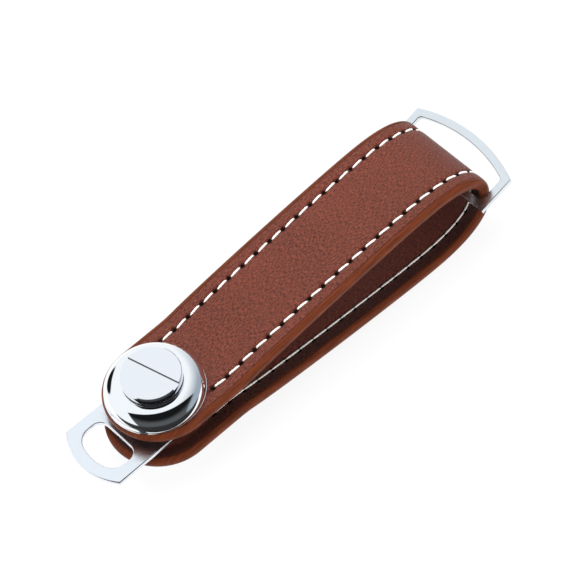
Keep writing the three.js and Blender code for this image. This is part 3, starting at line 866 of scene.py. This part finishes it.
def softbox(name, place_at, aim, size, power):
    """A square area lamp at place_at, facing aim."""
    lamp = bpy.data.lights.new(name, "AREA")
    lamp.shape = "SQUARE"
    lamp.size = size
    lamp.energy = power
    piece = bpy.data.objects.new(name, lamp)
    back = np.array(place_at) - np.array(aim)
    back = back / np.linalg.norm(back)
    right = np.cross((0.0, 1.0, 0.0), back)
    right = right / np.linalg.norm(right)
    up = np.cross(back, right)
    turn = Matrix(np.column_stack([right, up, back]).tolist()).to_4x4()
    piece.matrix_world = Matrix.Translation(place_at) @ turn
    piece.visible_glossy = False
    bpy.context.scene.collection.objects.link(piece)


def photo_camera():
    """Camera at the photograph's angle: back points from the object, and the frame rolls about it."""
    a, e, r = AZIMUTH, ELEVATION, ROLL
    back = np.array([math.sin(a) * math.cos(e), -math.cos(a) * math.cos(e), math.sin(e)])
    right = np.array([math.cos(a), math.sin(a), 0.0])
    up = np.cross(back, right)
    rolled_right = right * math.cos(r) + up * math.sin(r)
    rolled_up = up * math.cos(r) - right * math.sin(r)
    lens = bpy.data.cameras.new("photo_camera")
    lens.sensor_width = SENSOR
    lens.lens = FOCAL_PIXELS * SENSOR / IMAGE_SIZE
    lens.clip_start = 0.01
    camera = bpy.data.objects.new("photo_camera", lens)
    turn = Matrix(np.column_stack([rolled_right, rolled_up, back]).tolist()).to_4x4()
    camera.matrix_world = Matrix.Translation(CAMERA_PLACE) @ turn
    bpy.context.scene.collection.objects.link(camera)
    bpy.context.scene.camera = camera


bpy.context.scene.view_settings.view_transform = "Standard"
photo_camera()
studio_world()
floor_piece()
softbox("top_softbox", (0.15, 0.25, 0.9), LAMP_AIM, 0.7, 8.0)
softbox("left_softbox", (-0.6, 0.2, 0.5), LAMP_AIM, 0.5, 2.5)
softbox("front_softbox", (0.2, -0.7, 0.3), LAMP_AIM, 0.5, 3.0)

leather = leather_material(
    "leather_brown", (0.125, 0.0292, 0.0162), EDGE_PAINT, (0.006, 0.002, 0.001), 0.46, 0.8
)
lining = leather_material(
    "lining_brown", (0.115, 0.028, 0.018), EDGE_PAINT, (0.004, 0.002, 0.001), 0.62, 0.4
)
thread = thread_material()
cap_chrome = chrome_material("cap_chrome", (0.95, 0.96, 0.97, 1.0), 0.03)
post_chrome = chrome_material("post_chrome", (0.86, 0.87, 0.89, 1.0), 0.05)
screw_chrome = chrome_material("screw_chrome", (0.88, 0.9, 0.94, 1.0), 0.04)
# Dark plating for the slot's walls: painted shade in the slot.
painted_slot_shade = chrome_material("painted_slot_shade", (0.1, 0.1, 0.11, 1.0), 0.3)
plate_chrome = chrome_material("plate_chrome", (0.88, 0.91, 0.96, 1.0), 0.24)
ring_chrome = chrome_material("ring_chrome", (0.79, 0.83, 0.86, 1.0), 0.24)
spacer_steel = chrome_material("spacer_steel", (0.7, 0.71, 0.73, 1.0), 0.25)
rubber = rubber_material()

outer = strap_layer("strap_leather", *leather_section(), 0.0, False, leather)
place(outer, "strap", "leather", "outer_leather")
inner = strap_layer("strap_lining", *lining_section(), STRAP_DEPTH, True, lining)
place(inner, "strap", "lining", "inner_lining")
needle = stitch_row(
    "needle_thread",
    thread,
    STITCH_WIDTH,
    STITCH_HEIGHT,
    face_depth=0.0,
    inwards=False,
    reach=STITCH_PITCH * STITCH_SHARE,
    slant=STITCH_SLANT,
    rise=NEEDLE_RISE,
    plunge=NEEDLE_PLUNGE,
)
place(needle, "strap", "leather")
bobbin = stitch_row(
    "bobbin_thread",
    thread,
    BOBBIN_WIDTH,
    BOBBIN_HEIGHT,
    face_depth=STRAP_DEPTH,
    inwards=True,
    reach=STITCH_PITCH * BOBBIN_SHARE,
    slant=0.0,
    rise=BOBBIN_RISE,
    plunge=BOBBIN_PLUNGE,
)
place(bobbin, "strap", "lining")

cap = cap_profile()
place(lathe("domed_cap", cap + [0, UPPER_FACE_Z], cap_chrome), "strap", "cap_chrome", "upper_cap")
lower = cap * [1, -1] + [0, LOWER_FACE_Z]
place(lathe("under_cap", lower, cap_chrome), "strap", "cap_chrome", "lower_cap")
place(lathe("post", post_profile(), post_chrome), "strap", "post_chrome", "barrel_post")
washer = ring_profile(WASHER_RADIUS, BORE_RADIUS, *WASHER_Z, WASHER_ROUNDING)
place(lathe("groove_ring", washer, rubber), "screw_seat", "washer_rubber", "friction_washer")
for name, span in (("lower_spacer", LOWER_SPACER_Z), ("upper_spacer", UPPER_SPACER_Z)):
    profile = ring_profile(SPACER_RADIUS, BORE_RADIUS, *span, SPACER_ROUNDING)
    place(lathe(name + "_ring", profile, spacer_steel), "strap", "spacer_steel", name)
place(lock_screw(screw_chrome, painted_slot_shade), "lock_screw", "screw_chrome", "lock_screw")
place(key_plate(plate_chrome), "key_plate", "plate_chrome", "key_plate")
place(fold_ring(ring_chrome), "fold_ring", "plate_chrome", "fold_ring")
